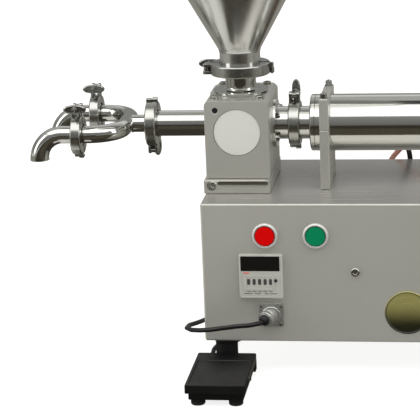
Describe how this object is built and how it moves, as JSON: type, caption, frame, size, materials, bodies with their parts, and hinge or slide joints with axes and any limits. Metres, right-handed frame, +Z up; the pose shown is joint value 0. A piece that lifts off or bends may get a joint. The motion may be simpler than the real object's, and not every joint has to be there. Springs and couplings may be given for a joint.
{
  "type": "tabletop piston filler",
  "caption": "Tabletop pneumatic piston filler for doughnuts: conical hopper on a rotary valve, twin swivelling nozzles, piston cylinder on a steel cabinet, and a foot pedal on a cable.",
  "frame": {"origin": "on the table, under the middle of the machine with its pedal, without the free cable", "axes": "+X along the machine from the nozzles to the hand wheel, +Y to the back, +Z up"},
  "size_m": [1.012, 0.392, 0.646],
  "materials": {
    "brushed_steel": "brushed stainless steel sheet and plate",
    "polished_steel": "polished stainless steel",
    "anodised_aluminium": "clear anodised",
    "white_plastic": "machined white fluoropolymer",
    "red_plastic": "moulded red button",
    "green_plastic": "moulded green button",
    "grey_plastic": "moulded light grey housing",
    "black_plastic": "moulded black",
    "amber_plastic": "translucent amber hose",
    "black_rubber": "black rubber",
    "black_paint": "black textured paint"
  },
  "bodies": {
    "machine": {"base_casing": "brushed_steel", "base_bottom_plate": "brushed_steel", "levelling_foot_1": "black_rubber", "levelling_foot_2": "black_rubber", "levelling_foot_3": "black_rubber", "levelling_foot_4": "black_rubber", "valve_pedestal": "brushed_steel", "valve_block": "brushed_steel", "valve_actuator": "anodised_aluminium", "hopper_socket": "polished_steel", "hopper": "polished_steel", "outlet_pipe": "polished_steel", "nozzle_manifold": "polished_steel", "hopper_clamp_bolt_half": "polished_steel", "hopper_clamp_fork_half": "polished_steel", "outlet_clamp_bolt_half": "polished_steel", "outlet_clamp_fork_half": "polished_steel", "front_nozzle_clamp_bolt_half": "polished_steel", "front_nozzle_clamp_fork_half": "polished_steel", "rear_nozzle_clamp_bolt_half": "polished_steel", "rear_nozzle_clamp_fork_half": "polished_steel", "cylinder_clamp_bolt_half": "polished_steel", "cylinder_clamp_fork_half": "polished_steel", "cylinder_head": "polished_steel", "product_cylinder": "polished_steel", "front_support_saddle": "brushed_steel", "front_support_cap": "brushed_steel", "rear_support": "brushed_steel", "drive_front_cover": "anodised_aluminium", "drive_barrel": "anodised_aluminium", "drive_rear_cover": "anodised_aluminium", "red_button_bezel": "polished_steel", "green_button_bezel": "polished_steel", "counter_body": "grey_plastic", "cable_socket": "polished_steel", "cable_plug": "polished_steel", "cable_run_front": "black_rubber", "cable_coil": "black_rubber", "cable_run_back": "black_rubber", "pedal_base": "black_paint", "pedal_spring": "polished_steel", "amber_air_hose": "amber_plastic", "black_air_hose": "black_plastic"},
    "valve_rotor": {"valve_spool": "white_plastic"},
    "piston_train": {"product_piston": "white_plastic", "piston_rod": "polished_steel", "drive_piston": "anodised_aluminium"},
    "stroke_screw": {"stroke_screw": "polished_steel"},
    "hand_wheel": {"hand_wheel": "black_plastic"},
    "red_button": {"red_button_cap": "red_plastic"},
    "green_button": {"green_button_cap": "green_plastic"},
    "counter_reset": {"counter_reset_button": "black_plastic"},
    "treadle": {"pedal_treadle": "black_paint"},
    "front_nozzle": {"front_nozzle": "polished_steel"},
    "rear_nozzle": {"rear_nozzle": "polished_steel"},
    "hopper_bolt": {"hopper_clamp_wing_bolt": "polished_steel"},
    "outlet_bolt": {"outlet_clamp_wing_bolt": "polished_steel"},
    "front_nozzle_bolt": {"front_nozzle_clamp_wing_bolt": "polished_steel"},
    "rear_nozzle_bolt": {"rear_nozzle_clamp_wing_bolt": "polished_steel"},
    "cylinder_bolt": {"cylinder_clamp_wing_bolt": "polished_steel"}
  },
  "joints": [
    {"name": "valve_turn", "type": "hinge", "parent": "machine", "child": "valve_rotor", "pos_m": [-0.278, 0.012, 0.262], "axis": [0, -1, 0], "range_deg": [0, 90]},
    {"name": "piston_slide", "type": "slide", "parent": "machine", "child": "piston_train", "axis": [1, 0, 0], "range_m": [0, 0.2]},
    {"name": "screw_slide", "type": "slide", "parent": "machine", "child": "stroke_screw", "axis": [-1, 0, 0], "range_m": [0, 0.008]},
    {"name": "wheel_turn", "type": "hinge", "parent": "stroke_screw", "child": "hand_wheel", "pos_m": [0.494, 0.012, 0.262], "axis": [-1, 0, 0], "range_deg": [0, 720.01]},
    {"name": "red_button_press", "type": "slide", "parent": "machine", "child": "red_button", "axis": [0, 1, 0], "range_m": [0, 0.003], "stiffness_N_per_m": 400, "springref_m": -0.004},
    {"name": "green_button_press", "type": "slide", "parent": "machine", "child": "green_button", "axis": [0, 1, 0], "range_m": [0, 0.003], "stiffness_N_per_m": 400, "springref_m": -0.004},
    {"name": "counter_reset_press", "type": "slide", "parent": "machine", "child": "counter_reset", "axis": [0, 1, 0], "range_m": [0, 0.0008], "stiffness_N_per_m": 500, "springref_m": -0.001},
    {"name": "treadle_press", "type": "hinge", "parent": "machine", "child": "treadle", "pos_m": [-0.2917, -0.0825, 0.0125], "axis": [1, 0, 0], "range_deg": [0, 2], "stiffness_Nm_per_rad": 6, "springref_deg": -5.73, "deforming": ["pedal_spring"]},
    {"name": "front_nozzle_swivel", "type": "hinge", "parent": "machine", "child": "front_nozzle", "pos_m": [-0.451, -0.04, 0.262], "axis": [1, 0, 0], "range_deg": [-90, 90]},
    {"name": "rear_nozzle_swivel", "type": "hinge", "parent": "machine", "child": "rear_nozzle", "pos_m": [-0.451, 0.064, 0.262], "axis": [1, 0, 0], "range_deg": [-90, 90]},
    {"name": "hopper_bolt_swing", "type": "hinge", "parent": "machine", "child": "hopper_bolt", "pos_m": [-0.315, 0.0068, 0.3237], "axis": [0, 0, 1], "range_deg": [0, 100]},
    {"name": "outlet_bolt_swing", "type": "hinge", "parent": "machine", "child": "outlet_bolt", "pos_m": [-0.3775, 0.0068, 0.2328], "axis": [-1, 0, 0], "range_deg": [0, 100]},
    {"name": "front_nozzle_bolt_swing", "type": "hinge", "parent": "machine", "child": "front_nozzle_bolt", "pos_m": [-0.451, -0.0348, 0.2924], "axis": [-1, 0, 0], "range_deg": [0, 100]},
    {"name": "rear_nozzle_bolt_swing", "type": "hinge", "parent": "machine", "child": "rear_nozzle_bolt", "pos_m": [-0.451, 0.0692, 0.2924], "axis": [-1, 0, 0], "range_deg": [0, 100]},
    {"name": "cylinder_bolt_swing", "type": "hinge", "parent": "machine", "child": "cylinder_bolt", "pos_m": [-0.2194, 0.0068, 0.2938], "axis": [1, 0, 0], "range_deg": [0, 100]}
  ],
  "couplings": [
    {"joint": "wheel_turn", "follows": "screw_slide", "rad_per_m": 1570.8}
  ]
}
